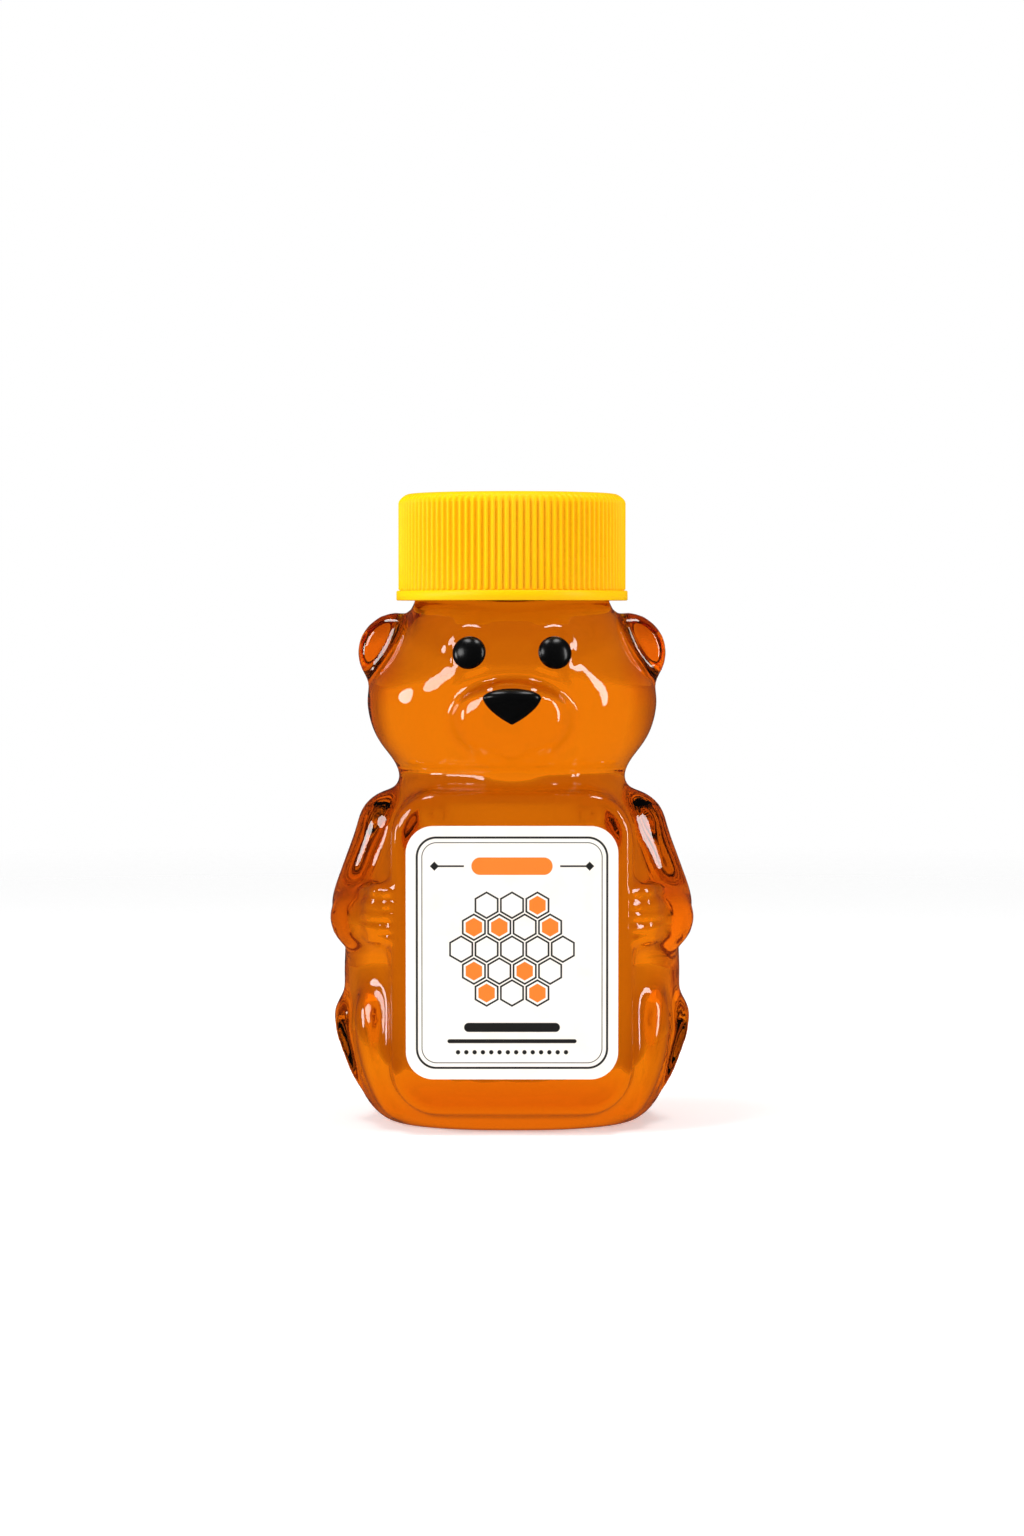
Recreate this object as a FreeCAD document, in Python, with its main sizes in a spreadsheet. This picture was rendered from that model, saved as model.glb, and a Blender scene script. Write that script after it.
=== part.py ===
"""Honey bear bottle: a blow-moulded bear filled with honey, closed by a ribbed screw cap.

The origin lies on the table under the middle of the neck. +Z is up and the bear looks along -Y.
Its own left side is +X. All lengths are millimetres and live in the "sizes" sheet.
"""
import FreeCAD, Part
import Sketcher
import math
import os
import re
from FreeCAD import Placement, Rotation, Vector

SIZES = {
    # wall of the blown bottle, and the gap that parts the honey from it
    "wall": 0.9,
    "honey_gap": 0.1,
    # trunk, from the table up to the crease under the chin
    "crease_height": 38.7,
    "trunk_half_width": 18.8,
    "trunk_half_depth": 15.0,
    # head, from the crease up to the ledge under the cap
    "head_height": 18.7,
    "head_half_width": 16.25,
    "head_half_depth": 15.0,
    # hollow pushed up into the base, which leaves a standing ring
    "push_up_radius": 9.0,
    "push_up_depth": 1.1,
    # neck above the ledge, and the empty space left under its rim
    "neck_radius": 10.85,
    "bore_radius": 9.4,
    "neck_height": 10.4,
    "headspace": 5.3,
    # belly panel, which stands proud of the trunk, and the label within its rolled edge
    "panel_half_width": 13.2,
    "panel_low": 2.0,
    "panel_drop": 1.3,
    "panel_proud": 1.0,
    "panel_root": 5.0,
    "panel_corner": 5.2,
    "panel_roll": 1.4,
    "label_side_margin": 0.3,
    "label_low_margin": 4.2,
    "label_high_margin": 3.7,
    "label_corner": 3.0,
    "label_thickness": 0.1,
    # upper arm, which hangs below the crease from the shoulder and is splayed at the elbow
    "arm_sunk": 4.4,
    "arm_forward": 2.5,
    "arm_drop": 10.5,
    "arm_length": 16.9,
    "elbow_thickness": 8.8,
    "shoulder_thickness": 9.2,
    "arm_splay": 21.7,
    # forearm, level and turned in across the belly
    "forearm_sunk": 3.8,
    "forearm_forward": 8.0,
    "forearm_drop": 15.7,
    "forearm_length": 13.0,
    "hand_thickness": 7.0,
    "forearm_thickness": 8.0,
    "forearm_turn": 57.0,
    # fingers, stacked against the edge of the panel
    "finger_out": 0.6,
    "finger_back": 2.8,
    "finger_drop": 17.5,
    "finger_stack": 5.3,
    "finger_length": 4.2,
    "finger_thickness": 2.0,
    # legs: a foot in front and a haunch beside it, both leaning out at the top
    "leg_level": 8.3,
    "leg_length": 14.6,
    "leg_lean": 18.0,
    "foot_turn": 37.0,
    "foot_sunk": 1.7,
    "foot_low_thickness": 4.4,
    "foot_high_thickness": 5.4,
    "haunch_turn": 12.0,
    "haunch_sunk": 3.3,
    "haunch_low_thickness": 5.8,
    "haunch_high_thickness": 7.4,
    # muzzle, with a flat on its tip for the nose
    "muzzle_rise": 6.6,
    "muzzle_setback": 2.6,
    "muzzle_width": 14.4,
    "muzzle_thickness": 10.0,
    "nose_flat": 0.8,
    "nose_half_width": 4.6,
    "nose_top": 3.4,
    "nose_drop": 4.3,
    "nose_corner": 1.0,
    "nose_thickness": 1.2,
    "nose_roll": 0.7,
    # eyes, each a dome on the flat end of a low boss
    "eye_apart": 9.3,
    "eye_rise": 13.7,
    "eye_setback": 1.2,
    "eye_radius": 1.85,
    "eye_dome": 1.0,
    "eye_up": 17.0,
    "eye_out": 12.0,
    "eye_boss_margin": 0.3,
    "eye_boss_length": 3.0,
    # ears, dished in front
    "ear_apart": 26.0,
    "ear_back": 0.5,
    "ear_rise": 13.6,
    "ear_diameter": 8.9,
    "ear_thickness": 5.2,
    "ear_dish_radius": 5.0,
    "ear_dish_forward": 6.2,
    # screw cap, whose skirt stops short of the ledge
    "cap_lift": 0.7,
    "cap_height": 11.9,
    "cap_top": 1.3,
    "cap_bore_radius": 11.9,
    "cap_radius": 12.5,
    "cap_edge": 0.9,
    "flange_radius": 12.95,
    "flange_height": 1.1,
    "rib_count": 105,
    "rib_height": 0.25,
    "rib_width": 0.5,
    # room round the liner disc in the cap's bore
    "liner_clearance": 0.3,
    # length by which joined and cutting solids pass each other's faces
    "overrun": 2.0,
}

# Stations of the vessel: share of the height, of the half width and of the half depth
TRUNK_SHARES = (
    (0.0, 0.74, 0.833),
    (0.052, 0.862, 0.927),
    (0.129, 0.931, 0.973),
    (0.245, 0.973, 0.99),
    (0.388, 1.0, 1.0),
    (0.543, 0.989, 0.993),
    (0.698, 0.92, 0.96),
    (0.827, 0.819, 0.913),
    (0.93, 0.712, 0.873),
    (1.0, 0.67, 0.86),
)
HEAD_SHARES = (
    (0.134, 0.862, 0.92),
    (0.283, 0.966, 0.973),
    (0.444, 1.0, 1.0),
    (0.604, 0.935, 0.98),
    (0.765, 0.812, 0.92),
    (0.925, 0.732, 0.827),
    (1.0, 0.689, 0.747),
)
OVAL_POINTS = 12
OVAL_POWER = 2.3
LOFT_DEGREE = 3
# Fingers from the lowest up: share of the stack's height, and share of the largest finger's size
FINGER_SHARES = ((0.0, 0.7), (0.2, 0.75), (0.42, 0.8), (0.69, 0.88), (1.0, 1.0))
RIB_CREST_SHARE = 0.4
SIDES = {"left": 1, "right": -1}
LEG_FORMS = ("haunch", "foot")
# The cells by which each skin of the bottle is drawn in
INSETS = {"outer": (), "cavity": ("wall",), "honey": ("wall", "honey_gap")}
X, Y, Z = Vector(1, 0, 0), Vector(0, 1, 0), Vector(0, 0, 1)

# Places that several pieces share, as expressions in the sheet's cells
LEDGE = "(crease_height + head_height)"
RIM = f"({LEDGE} + neck_height)"
CAP_LOW = f"({LEDGE} + cap_lift)"
CAP_HIGH = f"({CAP_LOW} + cap_height)"
CAP_UNDER = f"({CAP_HIGH} - cap_top)"
PANEL_FRONT = "(trunk_half_depth + panel_proud)"
PANEL_HIGH = "(crease_height - panel_drop)"
MUZZLE_LEVEL = "(crease_height + muzzle_rise)"
NOSE_SEAT = "(head_half_depth - muzzle_setback + muzzle_thickness / 2 - nose_flat)"
PUSH_UP_SPHERE = "((push_up_radius ^ 2 + push_up_depth ^ 2) / (2 * push_up_depth))"
# How far an eye's direction goes outward, forward and up
EYE_DIRECTION = (
    "sin(eye_out * 1deg) * cos(eye_up * 1deg)",
    "cos(eye_out * 1deg) * cos(eye_up * 1deg)",
    "sin(eye_up * 1deg)",
)

doc = FreeCAD.newDocument("honey_bear_bottle")
sheet = doc.addObject("Spreadsheet::Sheet", "sizes")
for row, (name, value) in enumerate(SIZES.items(), start=1):
    sheet.set(f"A{row}", name)
    sheet.set(f"B{row}", str(value))
    sheet.setAlias(f"B{row}", name)
doc.recompute()


def size(name):
    """Value of one cell, for shapes that Part's functions make."""
    return float(sheet.get(name))


def bind(obj, **expressions):
    """Tie properties to the sheet. Cells are named bare, and __ stands for a dot in a property's name."""
    for prop, text in expressions.items():
        tied = re.sub(r"[a-z_]+", lambda word: f"sizes.{word[0]}" if word[0] in SIZES else word[0], text)
        obj.setExpression(prop.replace("__", "."), tied)


def place(obj, x="0", y="0", z="0", turned_about=None, angle="0"):
    """Tie an object's place to the sheet, turned about one axis by an angle in degrees."""
    if turned_about:
        obj.Placement = Placement(Vector(), Rotation(turned_about, 1))
        bind(obj, Placement__Rotation__Angle=f"({angle}) * 1deg")
    bind(obj, Placement__Base__x=x, Placement__Base__y=y, Placement__Base__z=z)
    return obj


def inset(skin):
    """What a skin is drawn in by, as an expression."""
    return " + ".join(INSETS[skin]) or "0"


def inset_size(skin):
    return sum(size(name) for name in INSETS[skin])


def turned(name, edges, axis, **where):
    """Solid of an outline turned about an axis through the origin."""
    obj = doc.addObject("Part::Feature", name)
    obj.Shape = Part.Face(Part.Wire(edges)).revolve(Vector(), axis, 360)
    return place(obj, **where)


def capsule(name, skin, length, low, high, along, inward, **where):
    """Tapered rod with a round end of each thickness, drawn in as far as the skin is.

    It is turned from an outline that lies inward, so that the rest of the bear covers its seam.
    """
    gap = inset_size(skin)
    radii = (low / 2, high / 2)
    centres = (low / 2 - length / 2, length / 2 - high / 2)
    lean = math.asin((radii[0] - radii[1]) / (centres[1] - centres[0]))

    def point(end, turn):
        radius = radii[end] - gap
        return inward * (radius * math.cos(turn)) + along * (centres[end] + radius * math.sin(turn))

    bottom, top = -math.pi / 2, math.pi / 2
    edges = [
        Part.Arc(point(0, bottom), point(0, (bottom + lean) / 2), point(0, lean)).toShape(),
        Part.LineSegment(point(0, lean), point(1, lean)).toShape(),
        Part.Arc(point(1, lean), point(1, (lean + top) / 2), point(1, top)).toShape(),
        Part.LineSegment(point(1, top), point(0, bottom)).toShape(),
    ]
    return turned(name, edges, along, **where)


def puck(name, skin, diameter, thickness, along, inward, **where):
    """Round disc with a fully rounded rim, drawn in as far as the skin is."""
    flat, half = inward * (diameter / 2 - thickness / 2), along * (thickness / 2 - inset_size(skin))
    rim = inward * (diameter / 2 - inset_size(skin))
    edges = [
        Part.LineSegment(-half, flat - half).toShape(),
        Part.Arc(flat - half, rim, flat + half).toShape(),
        Part.LineSegment(flat + half, half).toShape(),
        Part.LineSegment(half, -half).toShape(),
    ]
    return turned(name, edges, along, **where)


def sphere(name, radius, **where):
    obj = doc.addObject("Part::Sphere", name)
    bind(obj, Radius=radius)
    return place(obj, **where)


def cylinder(name, radius, height, **where):
    obj = doc.addObject("Part::Cylinder", name)
    bind(obj, Radius=radius, Height=height)
    return place(obj, **where)


def fuse(name, parts):
    obj = doc.addObject("Part::MultiFuse", name)
    obj.Shapes = parts
    obj.Refine = False
    return obj


def cut(name, base, tool):
    obj = doc.addObject("Part::Cut", name)
    obj.Base = base
    obj.Tool = tool
    obj.Refine = False
    return obj


def outlined_body(name, role, points, offset="0"):
    """Body with a sketch of a closed run of lines, whose corners are pairs of expressions."""
    body = doc.addObject("PartDesign::Body", name)
    return body, outline(body, f"{name}_outline", role, points, offset)


def outline(body, name, role, points, offset="0"):
    """Sketch of a closed run of lines on one of the body's own planes, moved out by the offset."""
    sketch = body.newObject("Sketcher::SketchObject", name)
    plane = next(item for item in body.Origin.OriginFeatures if item.Role == role)
    sketch.AttachmentSupport = (plane, [""])
    sketch.MapMode = "FlatFace"
    bind(sketch, AttachmentOffset__Base__z=offset)
    count = len(points)
    turns = [2 * math.pi * i / count for i in range(count + 1)]
    rough = [Vector(math.cos(turn), math.sin(turn), 0) for turn in turns]
    for i in range(count):
        sketch.addGeometry(Part.LineSegment(rough[i], rough[i + 1]), False)
    for i in range(count):
        sketch.addConstraint(Sketcher.Constraint("Coincident", i, 2, (i + 1) % count, 1))
    for i, corner in enumerate(points):
        for kind, text, start in zip(("DistanceX", "DistanceY"), corner, rough[i]):
            number = sketch.addConstraint(Sketcher.Constraint(kind, -1, 1, i, 1, start))
            bind(sketch, **{f"Constraints[{number}]": text})
    return sketch


def pad(body, name, sketch, length):
    feature = body.newObject("PartDesign::Pad", name)
    feature.Profile = sketch
    bind(feature, Length=length)
    doc.recompute()
    return feature


def fillet(body, name, base, wanted, radius):
    """Fillet every edge of the base that the test picks."""
    feature = body.newObject("PartDesign::Fillet", name)
    picked = [f"Edge{i}" for i, edge in enumerate(base.Shape.Edges, start=1) if wanted(edge)]
    feature.Base = (base, picked)
    bind(feature, Radius=radius)
    doc.recompute()
    return feature


def runs_along_y(edge):
    return abs(edge.tangentAt(edge.FirstParameter).y) > 1 - Part.Precision.angular()


def front_edges(shape):
    """Test that picks the edges of a shape's front face."""
    front = min(vertex.Point.y for vertex in shape.Vertexes)
    return lambda edge: all(vertex.Point.y < front + Part.Precision.confusion() for vertex in edge.Vertexes)


def fuller(share):
    """Sine or cosine of an ellipse, changed to that of an oval with fuller corners."""
    return math.copysign(abs(share) ** (2 / OVAL_POWER), share)


def vessel(skin):
    """Trunk and head as one loft through oval stations, with its seam down the back."""
    crease, rise, gap = size("crease_height"), size("head_height"), inset_size(skin)
    stations = [
        (share * crease, width * size("trunk_half_width"), depth * size("trunk_half_depth"))
        for share, width, depth in TRUNK_SHARES
    ] + [
        (crease + share * rise, width * size("head_half_width"), depth * size("head_half_depth"))
        for share, width, depth in HEAD_SHARES
    ]
    squeeze = 1 - 2 * gap / (crease + rise)
    turns = [2 * math.pi * i / OVAL_POINTS for i in range(OVAL_POINTS)]
    ovals = []
    for height, half_width, half_depth in stations:
        points = [
            Vector((half_width - gap) * fuller(math.sin(turn)), (half_depth - gap) * fuller(math.cos(turn)),
                   gap + height * squeeze)
            for turn in turns
        ]
        curve = Part.BSplineCurve()
        curve.interpolate(points, PeriodicFlag=True)
        ovals.append(Part.Wire([curve.toShape()]))
    obj = doc.addObject("Part::Feature", f"{skin}_vessel")
    obj.Shape = Part.makeLoft(ovals, True, False, False, LOFT_DEGREE)
    return obj


def panel(skin):
    """Rounded plateau on the belly."""
    name, gap = f"{skin}_panel", f"({inset(skin)})"
    half_width, low, high = f"(panel_half_width - {gap})", f"panel_low + {gap}", f"{PANEL_HIGH} - {gap}"
    corners = ((f"-{half_width}", low), (half_width, low), (half_width, high), (f"-{half_width}", high))
    body, sketch = outlined_body(name, "XZ_Plane", corners, offset="panel_root")
    block = pad(body, f"{name}_pad", sketch, f"{PANEL_FRONT} - {gap} - panel_root")
    rounded = fillet(body, f"{name}_corners", block, runs_along_y, f"panel_corner - {gap}")
    fillet(body, f"{name}_roll", rounded, front_edges(rounded.Shape), "panel_roll")
    return body


def arm(skin, tag):
    """Upper arm and forearm of one side."""
    side = SIDES[tag]
    upper = capsule(
        f"{skin}_{tag}_upper_arm", skin, size("arm_length"), size("elbow_thickness"),
        size("shoulder_thickness"), Z, X * -side,
        x=f"{side} * (trunk_half_width - arm_sunk)", y="-arm_forward", z="crease_height - arm_drop",
        turned_about=Y, angle=f"{-side} * arm_splay")
    lower = capsule(
        f"{skin}_{tag}_forearm", skin, size("forearm_length"), size("hand_thickness"),
        size("forearm_thickness"), X * side, Y,
        x=f"{side} * (trunk_half_width - forearm_sunk)", y="-forearm_forward",
        z="crease_height - forearm_drop",
        turned_about=Z, angle=f"{side} * forearm_turn")
    return [upper, lower]


def leg(skin, tag, form):
    """Foot or haunch of one side, turned forward from the side."""
    turn = f"{form}_turn * 1deg"
    leg_form = capsule(
        f"{skin}_{tag}_{form}", skin, size("leg_length"), size(f"{form}_low_thickness"),
        size(f"{form}_high_thickness"), Z, X * -SIDES[tag],
        x=f"{SIDES[tag]} * cos({turn}) * (trunk_half_width - {form}_sunk)",
        y=f"-sin({turn}) * (trunk_half_depth - {form}_sunk)",
        z="leg_level", turned_about=Y, angle="leg_lean")
    bind(leg_form, Placement__Rotation__Axis__x=f"sin({turn})")
    bind(leg_form, Placement__Rotation__Axis__y=f"{SIDES[tag]} * cos({turn})")
    return leg_form


def finger(tag, number):
    rise_share, share = FINGER_SHARES[number]
    thickness = size("finger_thickness") * share
    return capsule(
        f"{tag}_finger_{number}", "outer", size("finger_length") * share, thickness, thickness, X, Y,
        x=f"{SIDES[tag]} * (panel_half_width + finger_out)", y=f"finger_back - {PANEL_FRONT}",
        z=f"crease_height - finger_drop + finger_stack * {rise_share}")


def muzzle(skin):
    """Muzzle with its tip cut flat for the nose."""
    thickness = size("muzzle_thickness")
    ball = capsule(
        f"{skin}_muzzle_ball", skin, size("muzzle_width"), thickness, thickness, X, Y,
        y="muzzle_setback - head_half_depth", z=MUZZLE_LEVEL)
    tip = doc.addObject("Part::Box", f"{skin}_muzzle_tip")
    bind(tip, Length="muzzle_width", Width="muzzle_thickness", Height="muzzle_thickness")
    place(tip, x="-muzzle_width / 2", y=f"{inset(skin)} - {NOSE_SEAT} - muzzle_thickness",
          z=f"{MUZZLE_LEVEL} - muzzle_thickness / 2")
    return cut(f"{skin}_muzzle", ball, tip)


def ear(skin, tag):
    """Ear with its dish cut from the front."""
    name = f"{skin}_{tag}_ear"
    where = {"x": f"{SIDES[tag]} * ear_apart / 2", "z": "crease_height + ear_rise"}
    disc = puck(
        f"{name}_puck", skin, size("ear_diameter"), size("ear_thickness"), Y, X * -SIDES[tag],
        y="ear_back", **where)
    dish = sphere(
        f"{name}_dish", f"ear_dish_radius + {inset(skin)}", y="ear_back - ear_dish_forward", **where)
    return cut(name, disc, dish)


def face_out(obj, tag):
    """Turn an upright object so that it points out of the face as an eye does."""
    place(obj, turned_about=X, angle="90 - eye_up")
    bind(obj, Placement__Rotation__Axis__x="cos(eye_out * 1deg)")
    bind(obj, Placement__Rotation__Axis__y=f"{SIDES[tag]} * sin(eye_out * 1deg)")


def eye_boss(tag):
    """Low boss whose flat end carries an eye."""
    boss = cylinder(f"{tag}_eye_boss", "eye_radius + eye_boss_margin", "eye_boss_length")
    face_out(boss, tag)
    across, forward, up = (f"eye_boss_length * {share}" for share in EYE_DIRECTION)
    bind(boss, Placement__Base__x=f"{SIDES[tag]} * (eye_apart / 2 - {across})")
    bind(boss, Placement__Base__y=f"eye_setback - head_half_depth + {forward}")
    bind(boss, Placement__Base__z=f"crease_height + eye_rise - {up}")
    return boss


def neck(skin):
    """Neck of the bottle, the bore through it, or the honey that stands in it."""
    radius, high = {
        "outer": ("neck_radius", RIM),
        "cavity": ("bore_radius", f"{RIM} + overrun"),
        "honey": ("bore_radius - honey_gap", f"{RIM} - headspace"),
    }[skin]
    root = f"({LEDGE} - overrun - ({inset(skin)}))"
    return cylinder(f"{skin}_neck", radius, f"{high} - {root}", z=root)


def bear(skin):
    """The bear as one solid, with the base pushed up. Small ridges show on the outer skin alone."""
    forms = [vessel(skin), panel(skin), muzzle(skin), neck(skin)]
    for tag in SIDES:
        forms += arm(skin, tag)
        forms.append(ear(skin, tag))
    whole = fuse(f"{skin}_forms", forms)
    whole = fuse(f"{skin}_hips", [whole] + [leg(skin, tag, form) for tag in SIDES for form in LEG_FORMS])
    if skin == "outer":
        whole = fuse("outer_brow", [whole] + [eye_boss(tag) for tag in SIDES])
        fingers = range(len(FINGER_SHARES))
        whole = fuse("outer_hands", [whole] + [finger(tag, number) for tag in SIDES for number in fingers])
    push_up = sphere(
        f"{skin}_push_up", f"{PUSH_UP_SPHERE} + {inset(skin)}", z=f"push_up_depth - {PUSH_UP_SPHERE}")
    return cut(f"{skin}_skin", whole, push_up)


def bottle_shell():
    return cut("bottle_shell", bear("outer"), bear("cavity"))


def honey_fill():
    """Honey up to its level in the neck."""
    honey = bear("honey")
    honey.Label = "honey_fill"
    return honey


def eye(tag):
    """Black dome on its boss."""
    dome = doc.addObject("Part::Ellipsoid", f"{tag}_eye")
    dome.Angle1 = 0
    bind(dome, Radius1="eye_dome", Radius2="eye_radius", Radius3="eye_radius")
    face_out(dome, tag)
    bind(dome, Placement__Base__x=f"{SIDES[tag]} * eye_apart / 2")
    bind(dome, Placement__Base__y="eye_setback - head_half_depth")
    bind(dome, Placement__Base__z="crease_height + eye_rise")
    return dome


def nose():
    """Rounded triangle, point down, seated on the flat of the muzzle."""
    top = f"{MUZZLE_LEVEL} + nose_top"
    corners = (("nose_half_width", top), ("-nose_half_width", top), ("0", f"{top} - nose_drop"))
    body, sketch = outlined_body("nose", "XZ_Plane", corners, offset=NOSE_SEAT)
    block = pad(body, "nose_pad", sketch, "nose_thickness")
    rounded = fillet(body, "nose_corners", block, runs_along_y, "nose_corner")
    fillet(body, "nose_roll", rounded, front_edges(rounded.Shape), "nose_roll")
    return body


def front_label():
    """Paper label on the flat of the belly panel."""
    half_width = "(panel_half_width - panel_roll - label_side_margin)"
    low, high = "panel_low + label_low_margin", f"{PANEL_HIGH} - label_high_margin"
    corners = ((f"-{half_width}", low), (half_width, low), (half_width, high), (f"-{half_width}", high))
    body, sketch = outlined_body("front_label", "XZ_Plane", corners, offset=PANEL_FRONT)
    sheet_of_paper = pad(body, "label_pad", sketch, "label_thickness")
    fillet(body, "label_corners", sheet_of_paper, runs_along_y, "label_corner")
    return body


def screw_cap():
    """Cap turned from one profile, with ribs round its skirt."""
    shoulder = f"{CAP_LOW} + flange_height"
    profile = (
        ("cap_bore_radius", CAP_LOW), ("flange_radius", CAP_LOW), ("flange_radius", shoulder),
        ("cap_radius", shoulder), ("cap_radius", CAP_HIGH), ("0", CAP_HIGH), ("0", CAP_UNDER),
        ("cap_bore_radius", CAP_UNDER),
    )
    body, sketch = outlined_body("screw_cap", "XZ_Plane", profile)
    blank = body.newObject("PartDesign::Revolution", "cap_turned")
    blank.Profile = sketch
    blank.ReferenceAxis = (sketch, ["V_Axis"])
    doc.recompute()
    top = max(vertex.Point.z for vertex in blank.Shape.Vertexes)
    fillet(body, "cap_rounded", blank, lambda edge: edge.BoundBox.ZMin > top - size("cap_edge"), "cap_edge")
    foot, crest = "rib_width / 2", f"rib_width * {RIB_CREST_SHARE} / 2"
    inside, outside = "cap_radius - rib_height", "cap_radius + rib_height"
    corners = ((inside, f"-{foot}"), (outside, f"-{crest}"), (outside, crest), (inside, foot))
    rib_sketch = outline(body, "rib_outline", "XY_Plane", corners, offset=shoulder)
    rib = pad(body, "rib", rib_sketch, f"{CAP_HIGH} - cap_edge - ({shoulder})")
    ribs = body.newObject("PartDesign::PolarPattern", "ribs")
    ribs.Originals = [rib]
    ribs.Axis = (rib_sketch, ["N_Axis"])
    bind(ribs, Occurrences="rib_count")
    body.Tip = ribs
    return body


def cap_liner():
    """Disc that seals the rim against the cap's underside."""
    return cylinder("cap_liner", "cap_bore_radius - liner_clearance", f"{CAP_UNDER} - {RIM}", z=RIM)


nodes = [bottle_shell(), honey_fill(), screw_cap(), cap_liner(), front_label(), nose()]
nodes += [eye(tag) for tag in SIDES]
doc.recompute()

for obj in doc.Objects:
    if "Invalid" in obj.State or "Error" in obj.State:
        raise RuntimeError(f"{obj.Label} did not build")
for node in nodes:
    shape = node.Shape
    if shape.isNull() or not shape.isValid() or len(shape.Solids) != 1:
        raise RuntimeError(f"{node.Label} is not one valid solid")
os.makedirs("parts", exist_ok=True)
for node in nodes:
    node.Shape.exportStep(f"parts/{node.Label}.step")
    print(node.Label, round(node.Shape.Volume), "cubic millimetres")
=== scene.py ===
# %% [markdown]
# # A bear bottle of honey
# A small squeeze bottle, blown in the shape of a sitting bear, filled with honey and closed by a
# ribbed yellow screw cap. The frame brings every rigid piece at its true size and place, so here
# the work is what a camera sees: one soft blown skin, the honey in it, the threads and the finishes.
# Clear walls lie one behind the other, so light gets more bounces than usual.

# %% Load the frame
import math

import bpy
from mathutils import Euler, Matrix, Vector
from mathutils.bvhtree import BVHTree


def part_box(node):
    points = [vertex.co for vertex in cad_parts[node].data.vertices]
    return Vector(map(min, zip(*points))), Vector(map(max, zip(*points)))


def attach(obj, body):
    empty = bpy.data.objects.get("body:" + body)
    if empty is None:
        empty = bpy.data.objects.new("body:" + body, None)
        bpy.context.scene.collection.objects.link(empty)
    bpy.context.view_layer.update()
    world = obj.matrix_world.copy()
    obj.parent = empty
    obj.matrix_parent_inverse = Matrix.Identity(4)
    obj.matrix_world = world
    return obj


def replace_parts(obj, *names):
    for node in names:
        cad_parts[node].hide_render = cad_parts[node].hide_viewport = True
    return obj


MM = 0.001
LIGHT_BOUNCES = 28

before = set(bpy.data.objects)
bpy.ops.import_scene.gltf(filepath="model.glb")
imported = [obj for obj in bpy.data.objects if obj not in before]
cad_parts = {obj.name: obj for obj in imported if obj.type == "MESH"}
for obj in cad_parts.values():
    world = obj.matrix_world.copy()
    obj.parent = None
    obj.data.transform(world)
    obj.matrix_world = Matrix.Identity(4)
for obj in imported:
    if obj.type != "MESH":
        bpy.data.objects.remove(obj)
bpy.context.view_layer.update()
scene = bpy.context.scene
scene.view_settings.view_transform = "Standard"
scene.cycles.max_bounces = LIGHT_BOUNCES
scene.cycles.transmission_bounces = LIGHT_BOUNCES
scene.cycles.glossy_bounces = LIGHT_BOUNCES
print("CAD nodes:", ", ".join(sorted(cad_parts)))

# %% [markdown]
# ## Helpers for modelling by hand
# An operator works on all that is selected, so each helper starts by deselecting everything. A new
# primitive keeps its place and size in its object. Applying them moves both into the mesh, so that
# every finished piece sits at the origin as the CAD nodes do.

# %% Select, settle, join and modify
def select(*objects):
    if bpy.context.mode != "OBJECT":
        bpy.ops.object.mode_set(mode="OBJECT")
    bpy.ops.object.select_all(action="DESELECT")
    for obj in objects:
        obj.select_set(True)
    if objects:
        bpy.context.view_layer.objects.active = objects[0]


def settled(name):
    """Name the new primitive and put its place, turn and size into its mesh."""
    obj = bpy.context.object
    obj.name = name
    obj.data.name = name
    bpy.ops.object.transform_apply(location=True, rotation=True, scale=True)
    return obj


def joined(objects):
    select(*objects)
    bpy.ops.object.join()
    return objects[0]


def modified(obj, kind, **settings):
    """Add one modifier and apply it at once."""
    select(obj)
    modifier = obj.modifiers.new(kind.title(), kind)
    for name, value in settings.items():
        setattr(modifier, name, value)
    bpy.ops.object.modifier_apply(modifier=modifier.name)
    return obj


# %% [markdown]
# ## Copies and simple starts
# A CAD node's mesh is loose triangles and stays as it is, so a copy of it is merged before it is worked
# on. The egg and the rod are starts for other pieces, and neither is left as it is.

# %% Copies, eggs and rods
SAME_POINT = 0.001


def twin(obj, name):
    """Second object with its own copy of the mesh."""
    other = bpy.data.objects.new(name, obj.data.copy())
    scene.collection.objects.link(other)
    return other


def node_copy(node, name):
    """Copy of a CAD node's mesh with its loose triangles merged."""
    obj = twin(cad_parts[node], name)
    obj.data.materials.clear()
    select(obj)
    bpy.ops.object.mode_set(mode="EDIT")
    bpy.ops.mesh.select_all(action="SELECT")
    bpy.ops.mesh.remove_doubles(threshold=SAME_POINT * MM)
    bpy.ops.object.mode_set(mode="OBJECT")
    return obj


def egg(name, half_sizes, place, turn=(0, 0, 0)):
    """Ball stretched to three half sizes, in millimetres, turned in degrees."""
    select()
    bpy.ops.mesh.primitive_uv_sphere_add(
        segments=24, ring_count=14, radius=1, location=Vector(place) * MM,
        rotation=[math.radians(angle) for angle in turn], scale=Vector(half_sizes) * MM)
    return settled(name)


def rod(name, radius, low, high):
    """Upright cylinder between two heights, in millimetres."""
    select()
    bpy.ops.mesh.primitive_cylinder_add(
        vertices=128, radius=radius * MM, depth=(high - low) * MM, location=(0, 0, (low + high) / 2 * MM))
    return settled(name)


# %% [markdown]
# ## Where the skin is soft
# A blown bottle has no sharp inner corners, but its neck, its flat belly panel and the seats of the
# eyes and the nose stay crisp. A vertex group can hold that as a softness from 0 to 1 for each point. It
# could be painted by hand. Here it is worked out from the point's place, so it fits any mesh of the bear.

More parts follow.
